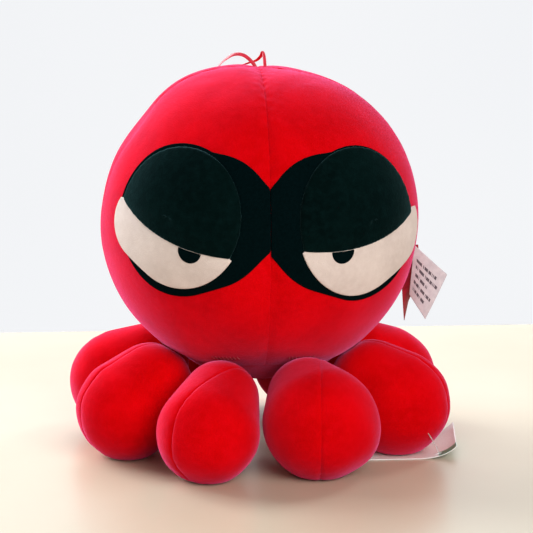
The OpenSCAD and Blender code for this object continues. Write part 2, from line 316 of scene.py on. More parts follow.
class Nodes:
    """Builds one material's nodes."""

    def __init__(self, name):
        self.material = bpy.data.materials.new(name)
        self.material.use_nodes = True
        self.tree = self.material.node_tree
        self.shader = self.tree.nodes["Principled BSDF"]

    def add(self, kind, inputs=None, **settings):
        node = self.tree.nodes.new("ShaderNode" + kind)
        for key, value in settings.items():
            setattr(node, key, value)
        for key, value in (inputs or {}).items():
            if isinstance(value, bpy.types.NodeSocket):
                self.tree.links.new(value, node.inputs[key])
            else:
                node.inputs[key].default_value = value
        return node

    def place_at(self):
        return self.add("TexCoord").outputs["Object"]

    def noise(self, scale, detail=2.0, rough=0.5, where=None):
        node = self.add("TexNoise", {"Scale": scale, "Detail": detail, "Roughness": rough})
        self.tree.links.new(where or self.place_at(), node.inputs["Vector"])
        return node.outputs["Fac"]

    def ramp(self, value, stops):
        node = self.add("ValToRGB", {"Fac": value})
        items = node.color_ramp.elements
        for i, (at, color) in enumerate(stops):
            item = items[i] if i < 2 else items.new(at)
            item.position, item.color = at, (*color, 1)
        return node.outputs["Color"]

    def mix(self, share, a, b):
        return self.add("MixRGB", {"Fac": share, "Color1": a, "Color2": b}).outputs["Color"]

    def bump(self, height, depth, strength=1.0, after=None):
        inputs = {"Height": height, "Distance": depth, "Strength": strength}
        if after is not None:
            inputs["Normal"] = after
        return self.add("Bump", inputs).outputs["Normal"]

    def set(self, **values):
        names = {
            "color": "Base Color", "rough": "Roughness", "normal": "Normal",
            "sheen": "Sheen Weight", "sheen_rough": "Sheen Roughness",
            "sheen_tint": "Sheen Tint", "gloss": "Specular IOR Level",
            "aniso": "Anisotropic", "clear": "Transmission Weight", "ior": "IOR",
        }
        for key, value in values.items():
            socket = self.shader.inputs[names[key]]
            if isinstance(value, bpy.types.NodeSocket):
                self.tree.links.new(value, socket)
            else:
                socket.default_value = (*value, 1) if isinstance(value, tuple) else value
        return self.material


def plush(name, deep, base, worn, pile, sheen, tint, sheen_rough, gloss):
    """Short-pile plush: brushed patches and fine pile, with a sheen where the pile is seen
    side-on. pile is the size of its tufts."""
    n = Nodes(name)
    where = n.place_at()
    patches = n.noise(34, 3, 0.55, where)
    brushed = n.noise(210, 3, 0.6, where)
    tufts = n.noise(1 / pile, 2, 0.6, where)
    color = n.ramp(patches, [(0.3, deep), (0.72, base)])
    color = n.mix(n.ramp(brushed, [(0.42, (0, 0, 0)), (0.78, (0.4, 0.4, 0.4))]), color, (*worn, 1))
    color = n.mix(n.ramp(tufts, [(0.3, (0.3, 0.3, 0.3)), (0.55, (0, 0, 0))]), color, (*deep, 1))
    normal = n.bump(brushed, 0.5 * MM, 0.35)
    normal = n.bump(tufts, 0.45 * MM, 0.55, normal)
    return n.set(color=color, rough=0.92, normal=normal, gloss=gloss,
                 sheen=sheen, sheen_rough=sheen_rough, sheen_tint=tint)


red = plush("plush_red", (0.52, 0.0006, 0.0016), (0.68, 0.001, 0.003), (0.74, 0.002, 0.008),
            0.9 * MM, 0.64, (1.0, 0.25, 0.60), 0.35, 0.0)
black_pile = plush("lid_pile", (0.0007, 0.0035, 0.0035), (0.0012, 0.0063, 0.0060),
                   (0.003, 0.014, 0.014), 1.0 * MM, 0.2, (0.42, 0.92, 1.0), 0.35, 0.0)
white_pile = plush("white_pile", (0.58, 0.48, 0.44), (0.70, 0.595, 0.55), (0.76, 0.67, 0.63),
                   0.8 * MM, 0.12, (1.0, 0.97, 1.0), 0.4, 0.1)


def felt():
    """Smooth navy-black felt with matted fibres."""
    n = Nodes("felt")
    where = n.place_at()
    fibres = n.noise(700, 4, 0.7, where)
    stretched = n.add("Mapping", {"Vector": where, "Scale": (260, 260, 1400)}).outputs["Vector"]
    hairs = n.noise(1, 3, 0.6, stretched)
    color = n.ramp(fibres, [(0.3, (0.0006, 0.0032, 0.0036)), (0.75, (0.0012, 0.0060, 0.0070))])
    normal = n.bump(fibres, 0.2 * MM, 0.5)
    normal = n.bump(hairs, 0.1 * MM, 0.4, normal)
    return n.set(color=color, rough=0.8, normal=normal, gloss=0.0,
                 sheen=0.02, sheen_rough=0.35, sheen_tint=(0.35, 0.8, 1.0))


def fibre():
    """Loose polyester filling."""
    n = Nodes("fibre_filling")
    clumps = n.noise(260, 6, 0.7)
    color = n.ramp(clumps, [(0.3, (0.62, 0.62, 0.60)), (0.7, (0.88, 0.88, 0.86))])
    return n.set(color=color, rough=0.95, normal=n.bump(clumps, 1.5 * MM, 0.8), sheen=0.3)


def satin(name, dark, light, sheen_tint, gloss=0.5):
    """Woven satin: fine parallel threads with a soft gloss."""
    n = Nodes(name)
    where = n.place_at()
    threads = n.add("TexWave", {"Vector": where, "Scale": 520, "Distortion": 0.6, "Detail": 1},
                    bands_direction="DIAGONAL").outputs["Fac"]
    slubs = n.noise(300, 3, 0.5, where)
    color = n.mix(n.ramp(slubs, [(0.3, (0, 0, 0)), (0.7, (1, 1, 1))]), (*dark, 1), (*light, 1))
    normal = n.bump(threads, 0.05 * MM, 0.5)
    normal = n.bump(slubs, 0.12 * MM, 0.3, normal)
    return n.set(color=color, rough=0.42, normal=normal, gloss=gloss, aniso=0.4,
                 sheen=gloss * 0.4, sheen_rough=0.3, sheen_tint=sheen_tint)


def thread(name, dark, light):
    """Spun sewing thread with a twist."""
    n = Nodes(name)
    twist = n.add("TexWave", {"Vector": n.place_at(), "Scale": 900, "Distortion": 1.5},
                  bands_direction="DIAGONAL").outputs["Fac"]
    color = n.mix(twist, (*dark, 1), (*light, 1))
    return n.set(color=color, rough=0.6, normal=n.bump(twist, 0.1 * MM, 0.6), sheen=0.2)


def card(name, color_a, color_b, rough):
    """Coated card with a faint paper grain."""
    n = Nodes(name)
    grain = n.noise(900, 4, 0.6)
    color = n.ramp(grain, [(0.3, color_a), (0.7, color_b)])
    return n.set(color=color, rough=rough, normal=n.bump(grain, 0.04 * MM, 0.4), gloss=0.5)


def nylon():
    """Clear nylon with drawing lines."""
    n = Nodes("clear_nylon")
    lines = n.noise(1200, 2)
    color = n.ramp(lines, [(0.3, (0.86, 0.88, 0.88)), (0.7, (0.96, 0.97, 0.97))])
    return n.set(color=color, rough=0.25, normal=n.bump(lines, 0.03 * MM, 0.3),
                 clear=0.6, ior=1.53)


felt_black = felt()
filling = fibre()
satin_red = satin("ribbon_satin", (0.50, 0.012, 0.03), (0.72, 0.03, 0.07), (1.0, 0.6, 0.65))
# The side ribbon is the same red satin as the hanging ribbon; this darker copy is painted shade,
# standing in for the head's shadow falling over it.
satin_red_painted_shade = satin("side_satin_painted_shade", (0.22, 0.002, 0.008), (0.36, 0.006, 0.02), (1.0, 0.3, 0.4), 0.15)
satin_white = satin("label_satin", (0.55, 0.49, 0.54), (0.65, 0.59, 0.63), (1.0, 1.0, 1.0), 0.35)
label_ink = satin("label_ink", (0.08, 0.06, 0.08), (0.15, 0.12, 0.14), (0.6, 0.6, 0.6), 0.2)
red_thread = thread("stitch_thread", (0.30, 0.002, 0.01), (0.55, 0.01, 0.03))
white_card = card("tag_card", (0.80, 0.80, 0.79), (0.90, 0.90, 0.89), 0.22)
green_print = card("tag_green", (0.09, 0.26, 0.17), (0.15, 0.36, 0.25), 0.3)
grey_print = card("tag_grey", (0.42, 0.44, 0.46), (0.52, 0.54, 0.56), 0.3)
clear_nylon = nylon()


# ---- hanging ribbon: one flat satin ribbon, sewn into the crown at both ends ----

RIBBON_WIDE = 2.4 * MM
RIBBON_THICK = 0.32 * MM
ribbon_route = np.array([
    (-1.5, 2, 250.5), (-3, 3, 253.4), (-6.3, 4.6, 256.8), (-9.3, 6.4, 258.7), (-12.8, 8.6, 259.3),
    (-16.4, 11, 258.4), (-19.8, 13.6, 256), (-22.6, 16.6, 253.4), (-24.6, 20.4, 250.6),
    (-26.4, 25.6, 247.8), (-27.4, 32, 245.7), (-25, 38.2, 244.3), (-19.4, 40.8, 244.8),
    (-13.6, 37.2, 246.9), (-9.2, 30.4, 249.4), (-4.8, 22.4, 251.9), (-0.4, 14.6, 254.4),
    (2.2, 9, 257.8), (3.2, 6, 260.6), (4.1, 4.2, 257.6), (4.6, 2.6, 250.5),
]) * MM


def ribbon_mesh(line):
    ways = unit(np.gradient(line, axis=0))
    half, thin = RIBBON_WIDE / 2, RIBBON_THICK / 2
    profile = [(half, 0), (half * 0.86, thin), (0, thin * 1.3), (-half * 0.86, thin),
               (-half, 0), (-half * 0.86, -thin), (0, -thin * 1.3), (half * 0.86, -thin)]
    rings = []
    for i, (p, w) in enumerate(zip(line, ways)):
        along = i / (len(line) - 1)
        side = np.cross(w, [0.3, 1, 0.2])
        side = unit(side - (side @ w) * w)
        flat = np.cross(w, side)
        lean = math.radians(70) * math.sin(math.pi * along) ** 2 + math.radians(12)
        across = math.cos(lean) * side + math.sin(lean) * flat
        up = np.cross(w, across)
        rings.append([p + u * across + v * up for u, v in profile])
    return np.concatenate(rings), tube_faces(len(line), len(profile))


ribbon_line = smooth_line(ribbon_route, 6)
ribbon = add_mesh("hanging_ribbon", *ribbon_mesh(ribbon_line), mats=[satin_red])
place(ribbon, "hanging_ribbon", "satin_red", "hanging_loop")


# ---- cloth ----

SIM_FRAMES = 20


PRESSURE = 4.0


def inflate(covers, seam_shrink, limit):
    """Swells closed covers by cloth simulation and returns how far each point moved.
    covers are (points, quads, weight of the seam, weight of what is held still)."""
    moved, made = [], []
    for i, (points, quads, seam, held) in enumerate(covers):
        obj = add_mesh(f"cover_{i}", points, quads)
        for label, weights in (("seam", seam), ("held", held)):
            group = obj.vertex_groups.new(name=label)
            for k, w in enumerate(weights):
                if w > 0.001:
                    group.add([k], float(w), "REPLACE")
        mod = obj.modifiers.new("cloth", "CLOTH")
        cloth = mod.settings
        cloth.quality = 8
        cloth.mass = 0.02
        cloth.tension_stiffness = cloth.compression_stiffness = 12
        cloth.shear_stiffness = 4
        cloth.bending_stiffness = 0.4
        cloth.use_pressure = True
        cloth.uniform_pressure_force = PRESSURE
        cloth.effector_weights.gravity = 0
        cloth.vertex_group_mass = "held"
        cloth.vertex_group_shrink = "seam"
        cloth.shrink_min = 0
        cloth.shrink_max = seam_shrink
        mod.collision_settings.use_collision = False
        mod.collision_settings.use_self_collision = False
        mod.point_cache.frame_start = 1
        mod.point_cache.frame_end = SIM_FRAMES
        made.append(obj)
    for f in range(1, SIM_FRAMES + 1):
        bpy.context.scene.frame_set(f)
    for obj, (points, quads, seam, held) in zip(made, covers):
        shift = made_mesh(obj)[1] - points
        shift -= (shift * (1 - held[:, None])).mean(0)
        normals = vertex_normals(points, np.array(quads))
        swell = (shift * normals).sum(1)
        shift -= normals * swell.mean()
        size = np.linalg.norm(shift, axis=1, keepdims=True)
        shift *= limit * np.tanh(size / limit) / np.maximum(size, 1e-9)
        moved.append(shift * (1 - held[:, None]))
        bpy.data.objects.remove(obj)
    bpy.context.scene.frame_set(1)
    return moved


# ---- head ----

def head_point(d):
    """Point of the head's cover along unit directions from its middle."""
    flat = np.hypot(d[:, 0], d[:, 1]) / HEAD_WIDE
    tall = np.where(d[:, 2] > 0, HEAD_TALL, HEAD_DEEP)
    made = HEAD + d / np.sqrt(flat**2 + (d[:, 2] / tall) ** 2)[:, None]
    for way, depth, spread in SETTLED:
        near = np.clip(d @ unit(np.array(way, float)), -1, 1)
        made += (depth * MM * np.exp(-((np.arccos(near) / spread) ** 2)))[:, None] * d
    return made


dirs, quads, panel = quad_ball(12, 16, math.radians(28), BASE_TILT, crowd=0.13)
coarse = head_point(dirs)
seam_gap = np.minimum(np.abs(dirs[:, 0]), np.abs(dirs[:, 1])) * BALL
seam_gap = np.where(dirs[:, 2] < -math.cos(BASE_TILT) - 1e-6, 1.0, seam_gap)
rim_gap = np.abs(np.arccos(np.clip(-dirs[:, 2], -1, 1)) - BASE_TILT) * BALL
seam_weight = (np.minimum(seam_gap, rim_gap) < 0.5 * MM).astype(float)
head_move = inflate([(coarse, quads, seam_weight, np.zeros(len(coarse)))],
                    0.05, 1.6 * MM)[0]
plain, fine_quads, fine_panel = subdivide(coarse, quads, panel, 3)
swollen = subdivide(coarse + head_move, quads, panel, 3)[0]
d = unit(plain - HEAD)
# The subdivided ball keeps the seam planes; its directions give each point's distance from them
head_seam = np.minimum(np.abs(d[:, 0]), np.abs(d[:, 1])) * BALL
below = np.arccos(np.clip(-d[:, 2], -1, 1)) < BASE_TILT - 1e-4
head_rim = np.abs(np.arccos(np.clip(-d[:, 2], -1, 1)) - BASE_TILT) * BALL
head_seam = np.where(below, head_rim, np.minimum(head_seam, head_rim))
head_fine = head_point(d) + (swollen - plain)
head_smooth = head_fine + (0.35 * MM * waves(d * BALL, 60 * MM, 3))[:, None] * d
pucker = waves(d * BALL, 9 * MM, 5) * 0.28 * MM * np.exp(-head_seam / (5 * MM))
groove = (0.4 * MM * np.exp(-((head_seam / (0.7 * MM)) ** 2))
          + 0.35 * MM * np.exp(-head_seam / (5 * MM)))
faint = 1 - 0.75 * np.clip(-2.5 * d[:, 2], 0, 1)      # the chin's seam is pressed flat
head_points = head_smooth + (faint * (pucker - groove))[:, None] * d
head_normals = vertex_normals(head_points, fine_quads)

HEAD_PANELS = {
    "head_front_left_panel": 0, "head_front_right_panel": 1,
    "head_rear_left_panel": 2, "head_rear_right_panel": 3, "head_base_disc": 4,
}
for node, index in HEAD_PANELS.items():
    chosen = fine_quads[fine_panel == index]
    made, faces, cut_edges = cut_panel(head_points, head_normals, chosen, FABRIC, SEAM_GAP)
    piece = add_mesh(node + "_plush", made, faces, mats=[red], sharp=cut_edges)
    place(piece, "head", "plush_red", node)

head_tree = BVHTree.FromPolygons([tuple(p) for p in head_smooth], fine_quads.tolist())


def on_head(ways, lift):
    """Points on the head's cover along unit directions, raised by lift."""
    made = []
    centre = Vector(HEAD)
    for w, h in zip(ways, np.broadcast_to(lift, len(ways))):
        hit = head_tree.ray_cast(centre, Vector(w))[0]
        made.append(np.array(hit) + w * h)
    return np.array(made)


# ---- eyes ----

EYE_YAW = math.radians(37)
FELT_THICK = 0.8 * MM
WHITE_THICK = 0.9 * MM
LID_EDGE = 2.2 * MM
LID_PUFF = 4.0 * MM
SIDES = {"left": -1, "right": 1}


def circle(mid, r):
    return lambda p: np.hypot(p[:, 0] - mid[0], p[:, 1] - mid[1]) - r


def short_of(corner):
    """All but the quarter that is up and outwards of a corner."""
    return lambda p: np.minimum(p[:, 0] - corner[0], p[:, 1] - corner[1])


def pebble(mid_a, r_a, mid_b, r_b):
    """Inside of two circles joined by straight sides, less than 0 within."""
    t = np.linspace(0, 1, 65)
    mids = np.outer(1 - t, mid_a) + np.outer(t, mid_b)
    radii = r_a + (r_b - r_a) * t

    def away(p):
        gaps = np.hypot(p[:, None, 0] - mids[:, 0], p[:, None, 1] - mids[:, 1]) - radii
        return gaps.min(1)
    return away


def both(*shapes):
    return lambda p: np.max([s(p) for s in shapes], axis=0)


def either(*shapes):
    return lambda p: np.min([s(p) for s in shapes], axis=0)


def outside(shape):
    return lambda p: -shape(p)


def own_side(gap):
    """Stays on the eye's own side of the front seam. Sizes in millimetres."""
    def away(p):
        depth = np.sqrt(np.maximum((BALL / MM) ** 2 - (p**2).sum(1), 1))
        return gap - (p[:, 0] * math.cos(EYE_YAW) + depth * math.sin(EYE_YAW))
    return away


def eye_ways(p, side):
    """Unit directions from the head's middle for a drawing's points, in millimetres."""
    depth = np.sqrt(np.maximum((BALL / MM) ** 2 - (p**2).sum(1), 1))
    ways = np.stack([p[:, 0], -depth, p[:, 1]], 1) / (BALL / MM)
    ways = turn_z(ways, EYE_YAW)
    ways[:, 0] *= side
    return unit(ways)


def patch(name, side, shape, mid, under, profile, rings, sides, mat, body_slot, node):
    """A sewn shape on the head. profile gives its height above the cover for a distance
    from its edge, all in millimetres, and under is the height of its hidden face."""
    a = 2 * math.pi * np.arange(sides) / sides
    ways = np.stack([np.cos(a), np.sin(a)], 1)
    near, far = np.zeros(sides), np.full(sides, 130.0)
    for _ in range(40):
        middle = (near + far) / 2
        inside = shape(mid + middle[:, None] * ways) < 0
        near, far = np.where(inside, middle, near), np.where(inside, far, middle)
    flat, height = [], []
    for inset in rings:
        r = np.maximum(near - inset, near * 0.12)
        flat.append(mid + r[:, None] * ways)
        height.append(profile(np.minimum(inset, near), flat[-1], a))
    flat.append(mid[None] + np.zeros((1, 2)))
    height.append(profile(near[:1], flat[-1], a[:1]))
    top = on_head(eye_ways(np.concatenate(flat), side), np.concatenate(height) * MM)
    flat_under = [flat[0], mid + 0.5 * near[:, None] * ways, flat[-1]]
    low = on_head(eye_ways(np.concatenate(flat_under), side), under * MM)
    faces = []
    count = len(rings)
    for r in range(count - 1):
        for j in range(sides):
            k = (j + 1) % sides
            faces.append((r * sides + j, r * sides + k, (r + 1) * sides + k, (r + 1) * sides + j))
    hub = count * sides
    for j in range(sides):
        faces.append(((count - 1) * sides + j, (count - 1) * sides + (j + 1) % sides, hub))
    base = hub + 1
    for j in range(sides):
        k = (j + 1) % sides
        faces.append((base + j, base + k, k, j))
        faces.append((base + j, base + sides + j, base + sides + k, base + k))
        faces.append((base + sides + j, base + 2 * sides, base + sides + k))
    if side < 0:
        faces = [f[::-1] for f in faces]
    piece = add_mesh(name, np.concatenate([top, low]), faces, mats=[mat])
    place(piece, "head", body_slot, node)
    return piece


def rounded(edge, crown, radius, reach):
    """Height profile: a rounded edge of that height, then a slow rise to the crown."""
    def height(inset, p, a):
        up = np.clip(inset / radius, 0, 1)
        slow = np.clip(inset / reach, 0, 1)
        return (edge * np.sqrt(1 - (1 - up) ** 2)
                + (crown - edge) * (1 - (1 - slow) ** 2)) + 0 * a
    return height


def lifted(profile, by):
    return lambda inset, p, a: by + profile(inset, p, a)


EDGE_RINGS = [0, 0.08, 0.2, 0.4, 0.7, 1.1, 1.6, 2.4, 3.6, 5.2, 7.5, 10.5, 14, 18, 22.5, 27.5, 33]
THIN_RINGS = [0, 0.1, 0.25, 0.5, 0.9, 1.6, 3, 5.5, 9, 13, 18, 24, 30]

# Each eye's circles as (middle, radius), and the middles of its lid's arc and its pupil, all
# in millimetres
EYES = {
    "left": dict(backing=((-3, 12.6), 46.8), outer=((-1.4, 14.6), 46.6), neck=((-22, 14.3), 42),
                 white=((-5, 15), 43.5), corner=((27, 9), 22.5), tip=((36, 14), 13.2),
                 lid=((-3, 15), 43.7), arc=(-51, 145), pupil=(-16.3, -3)),
    "right": dict(backing=((0, 9), 48.2), outer=((-1, 10.5), 48), neck=((-22, 12), 43.5),
                  white=((-3.5, 10.5), 45.5), corner=((33, 5), 25), tip=((44, 5), 13.5),
                  lid=((-2, 11.5), 45.7), arc=(-25, 148), pupil=(-21.3, -4)),
}
NOSE = ((-74.5, 16), 4)
ARC_R = 152
PUPIL_R = 7.8


def lid_profile(inset, p, a):
    """The padded lid: a thick rolled edge, small dimples where it is stitched down."""
    base = rounded(LID_EDGE / MM, LID_PUFF / MM, 1.9, 26)(inset, p, a)
    dimple = 0.16 * np.sin(a * 41 + 1.3 * np.sin(a * 7)) * np.exp(-inset / 2.5) * (inset > 0.3)
    return 0.8 + base + dimple


for name, side in SIDES.items():
    e = EYES[name]
    backing = both(either(pebble(*e["backing"], *e["neck"]), pebble(*e["neck"], *NOSE),
                          circle(*e["outer"])),
                   own_side(0.05))
    lid = both(circle(*e["lid"]), circle(e["arc"], ARC_R))
    tucked = either(outside(circle(e["arc"], ARC_R)), circle(e["lid"][0], e["lid"][1] - 1.2))
    rounded_tip = either(circle(*e["tip"]), short_of(e["tip"][0]))
    white = both(pebble(*e["white"], *e["corner"]), tucked, rounded_tip)
    pupil = both(circle(e["pupil"], PUPIL_R), outside(lid))
    middle = np.array(e["backing"][0], float)
    patch(f"{name}_eye_felt", side, backing, middle, 0.0,
          rounded(0.75, 0.8, 0.7, 5), THIN_RINGS, 192, felt_black, "felt_black",
          f"{name}_eye_backing")
    patch(f"{name}_eye_white_pile", side, white, middle, 0.75,
          lifted(rounded(0.8, 1.3, 0.9, 14), 0.8), THIN_RINGS, 192, white_pile, "plush_white",
          f"{name}_eye_white")
    puffed = patch(f"{name}_eyelid_padded", side, lid, middle + [0, 6], 1.2, lid_profile,
                   EDGE_RINGS, 256, black_pile, "plush_black", f"{name}_eyelid")
    low_mid = np.array(e["pupil"], float) + [0, -4.5]
    patch(f"{name}_pupil_felt", side, pupil, low_mid, 1.9,
          lifted(rounded(0.5, 0.6, 0.5, 4), 2.0), [0, 0.1, 0.3, 0.6, 1.2, 2.2], 96, felt_black,
          "felt_black", f"{name}_pupil")


# ---- legs ----

LEG_GAP = 0.35 * MM
EDGE_BLEND = 0.6 * MM                     # how softly a leg's faces turn into each other


def leg_turn(name):
    fold = FOLDS[name]
    return math.atan2(fold[0], -fold[1])


def belly(name):
    """Middle of a leg's belly, in the leg's own plane."""
    return np.array([0, -LEGS[name][0], LEGS[name][1]]) * MM


def leg_reach(ways, name):
    """Distance from the belly's middle to the leg's face, for unit directions that are
    in the leg's own plane."""
    middle, r_belly, sole = belly(name), LEGS[name][2] * MM, LEGS[name][4] * MM
    t = np.linspace(0, 1, 17)[:, None]
    off = t * (SHOULDER - middle)
    r = r_belly + t * (SHOULDER_R - SLIM.get(name, 0) * MM - r_belly)
    along = off @ ways.T
    hull = (along + np.sqrt(np.maximum(along**2 - (off**2).sum(1)[:, None] + r**2, 0))).max(0)
    if name in BULGES:
        way, height, spread = BULGES[name]
        near = np.clip(ways @ unit(np.array(way)), -1, 1)
        hull += height * MM * np.exp(-((np.arccos(near) / spread) ** 2))
    start = turn_z(middle[None], leg_turn(name))[0]
    world = turn_z(ways, leg_turn(name))
    head = np.full(len(ways), 1.0)
    for i, w in enumerate(world):
        hit, normal, _, far = head_tree.ray_cast(Vector(start), Vector(w), 0.1)
        if hit is not None:
            head[i] = far - LEG_GAP / max(abs(normal.dot(Vector(w))), 0.35)
    floor = np.where(ways[:, 2] < -0.05, (middle[2] - sole) / np.maximum(-ways[:, 2], 0.05), 1.0)
    floor = floor - 0.05 * MM
    near = np.minimum(np.minimum(hull, head), floor)
    blend = sum(np.exp((near - face) / EDGE_BLEND) for face in (hull, head, floor))
    return near - EDGE_BLEND * np.log(blend)


def leg_points(local, name):
    """Leg points in the frame, for unit directions that are square to its seam."""
    ways = turn_z(local, math.radians(LEGS[name][3]))
    plane = belly(name) + leg_reach(ways, name)[:, None] * ways
    return turn_z(plane, leg_turn(name))


leg_dirs, leg_quads, leg_panel = quad_ball(8, 10, math.radians(32), math.radians(32), crowd=0.13)
leg_mid = np.array([leg_dirs[list(q)].mean(0) for q in leg_quads])
leg_panel = [int(x > 0) for x in leg_mid[:, 0]]
covers = []
for name in LEGS:
    points = leg_points(leg_dirs, name)
    ways = turn_z(leg_dirs, math.radians(LEGS[name][3]))
    seam = (np.abs(leg_dirs[:, 0]) * 35 * MM < 0.5 * MM).astype(float)
    toward_head = unit(np.array([0, 0, HEAD[2]]) - belly(name))
    held = np.clip((ways @ toward_head - 0.35) / 0.35, 0, 1)
    held = np.maximum(held, np.clip((-ways[:, 2] - 0.8) / 0.12, 0, 1))
    held = np.maximum(held, np.clip((np.abs(ways[:, 0]) - 0.9) / 0.08, 0, 1) * 0.9)
    covers.append((points, leg_quads, seam, held))
leg_moves = inflate(covers, 0.015, 0.8 * MM)

for name, cover, move in zip(LEGS, covers, leg_moves):
    plain, fine_quads, fine_panel = subdivide(cover[0], leg_quads, leg_panel, 2)
    swollen = subdivide(cover[0] + move, leg_quads, leg_panel, 2)[0]
    start = turn_z(belly(name)[None], leg_turn(name))
    local = turn_z(unit(plain - start), -leg_turn(name) - math.radians(LEGS[name][3]))
    local = unit(local)
    exact = leg_points(local, name)
    seam = np.abs(local[:, 0]) * 33 * MM
    free = 1 - subdivide(np.repeat(cover[3][:, None], 3, 1), leg_quads, leg_panel, 2)[0][:, 0]
    free = np.clip(free, 0, 1)
    seed = 20 + list(LEGS).index(name)
    near_seam = np.exp(-seam / (4 * MM))
    lumps = (0.3 * MM * waves(exact, 30 * MM, seed)
             + 0.2 * MM * waves(exact, 8 * MM, seed + 40) * near_seam)
    groove = 0.4 * MM * np.exp(-((seam / (0.7 * MM)) ** 2)) + 0.3 * MM * near_seam
    out = unit(exact - start)
    points = exact + (swollen - plain) + ((lumps - 0.3 * MM) * free - groove)[:, None] * out
    normals = vertex_normals(points, fine_quads)
    for which, label in ((0, "left"), (1, "right")):
        node = f"{name}_leg_{label}_panel"
        chosen = fine_quads[fine_panel == which]
        made, faces, cut_edges = cut_panel(points, normals, chosen, FABRIC, SEAM_GAP)
        piece = add_mesh(node + "_plush", made, faces, mats=[red], sharp=cut_edges)
        place(piece, f"{name}_leg", "plush_red", node)


# ---- fillings ----

fill_dirs, fill_quads, _ = quad_ball(8, 12, math.radians(30), math.radians(30))
core = HEAD + (head_point(fill_dirs) - HEAD) * (1 - 3.6 * MM / BALL)
core += (0.9 * MM * waves(core, 22 * MM, 71))[:, None] * fill_dirs
core, core_quads, _ = subdivide(core, fill_quads, [0] * len(fill_quads), 1)
stuffing = add_mesh("head_fibre_filling", core, core_quads.tolist(), mats=[filling])
place(stuffing, "head", "stuffing", "head_stuffing")
for k, name in enumerate(LEGS):
    start = turn_z(belly(name)[None], leg_turn(name))
    skin = leg_points(fill_dirs, name)
    far = np.linalg.norm(skin - start, axis=1, keepdims=True)
    core = start + (skin - start) * (1 - 4.6 * MM / far)
    core += (0.6 * MM * waves(core, 14 * MM, 80 + k))[:, None] * unit(core - start)
    piece = add_mesh(f"{name}_leg_fibre_filling", core, fill_quads, mats=[filling])
    place(piece, f"{name}_leg", "stuffing", f"{name}_leg_stuffing")


# ---- stitches that hold the legs on ----

STITCHES = 8
STITCH_STEP = 2.5 * MM
THREAD_R = 0.28 * MM
stitch_parts = []
for name in LEGS:
    fold = turn_z(FOLDS[name][None], -leg_turn(name))[0]
    for k in range(STITCHES):
        x = (k - (STITCHES - 1) / 2) * STITCH_STEP
        foot = turn_z(np.array([[x, fold[1], fold[2]]]), leg_turn(name))[0]
        way = unit(foot - HEAD + np.array([0, 0, -4 * MM]))
        base = on_head(way[None], 0)[0]
        up = unit(np.cross(way, [-way[1], way[0], 0]))
        slant = turn_z(np.array([[0.35, 0, 0]]), leg_turn(name))[0]
        run = unit(-up + slant)
        a = np.linspace(0, math.pi, 9)
        arc = [base + run * (1.7 * MM * math.cos(t)) + way * (0.9 * MM * math.sin(t) - 0.3 * MM)
               for t in a]
        stitch_parts.append(tube(arc, THREAD_R, 6))
stitches = add_mesh("leg_whip_stitches", *join_parts(stitch_parts), mats=[red_thread])
place(stitches, "head", "thread_red", "leg_attachment_threads")


# ---- labels in the side seam ----

def sheet_mesh(surface, wide, tall, thick):
    """A closed thin sheet over a grid of wide by tall points; surface(s, t) gives a point."""
    s, t = np.meshgrid(np.linspace(0, 1, wide), np.linspace(0, 1, tall), indexing="ij")
    points = surface(s.ravel(), t.ravel())
    grid = points.reshape(wide, tall, 3)
    normal = unit(np.cross(np.gradient(grid, axis=0), np.gradient(grid, axis=1)).reshape(-1, 3))
    count = wide * tall
    faces = [(i * tall + j, (i + 1) * tall + j, (i + 1) * tall + j + 1, i * tall + j + 1)
             for i in range(wide - 1) for j in range(tall - 1)]
    back = [tuple(k + count for k in f[::-1]) for f in faces]
    around = ([(i * tall, (i + 1) * tall) for i in range(wide - 1)]
              + [((wide - 1) * tall + j, (wide - 1) * tall + j + 1) for j in range(tall - 1)]
              + [((i + 1) * tall - 1 + tall, (i + 1) * tall - 1) for i in range(wide - 1)][::-1]
              + [(j + 1, j) for j in range(tall - 1)][::-1])
    rim = [(b, a, a + count, b + count) for a, b in around]
    both_sides = np.concatenate([points + normal * thick / 2, points - normal * thick / 2])
    return both_sides, faces + back + rim, len(faces)


def seam_x(z, lift):
    """Where the right side seam is at a height, raised by lift."""
    way = unit(np.stack([np.sqrt(np.maximum(HEAD_WIDE**2 - (z - HEAD[2]) ** 2, 1e-6)),
                         0 * z, z - HEAD[2]], 1))
    return on_head(way, lift)


LABEL_FREE = np.array([[104.2, 132.5], [126.5, 111.5], [111.8, 81.5], [101.2, 98.0]]) * MM


def label_surface(s, t):
    """s runs out from the seam and t down the label."""
    top, right, low, left = LABEL_FREE
    z = top[1] + (left[1] - top[1]) * t
    root = seam_x(z, 0.25 * MM)
    hangs = np.clip((t - 0.08) / 0.3, 0, 1)
    hangs = hangs * hangs * (3 - 2 * hangs)       # only its upper corner is sewn into the seam
    free = np.stack([top[0] + (left[0] - top[0]) * t, -1.2 * MM * t, z], 1)
    root = root + (free - root) * hangs[:, None]
    out = right + (low - right) * t[:, None]
    x = root[:, 0] * (1 - s) + out[:, 0] * s
    z = root[:, 2] * (1 - s) + out[:, 1] * s
    y = (-2.6 * np.sin(math.pi * s * 0.8) - 1.5 * s * t + 0.5 * np.sin(5 * t + 2 * s) * s) * MM
    sag = -0.8 * MM * np.sin(math.pi * s) * np.sin(math.pi * t)
    return np.stack([x, y, z + sag], 1)


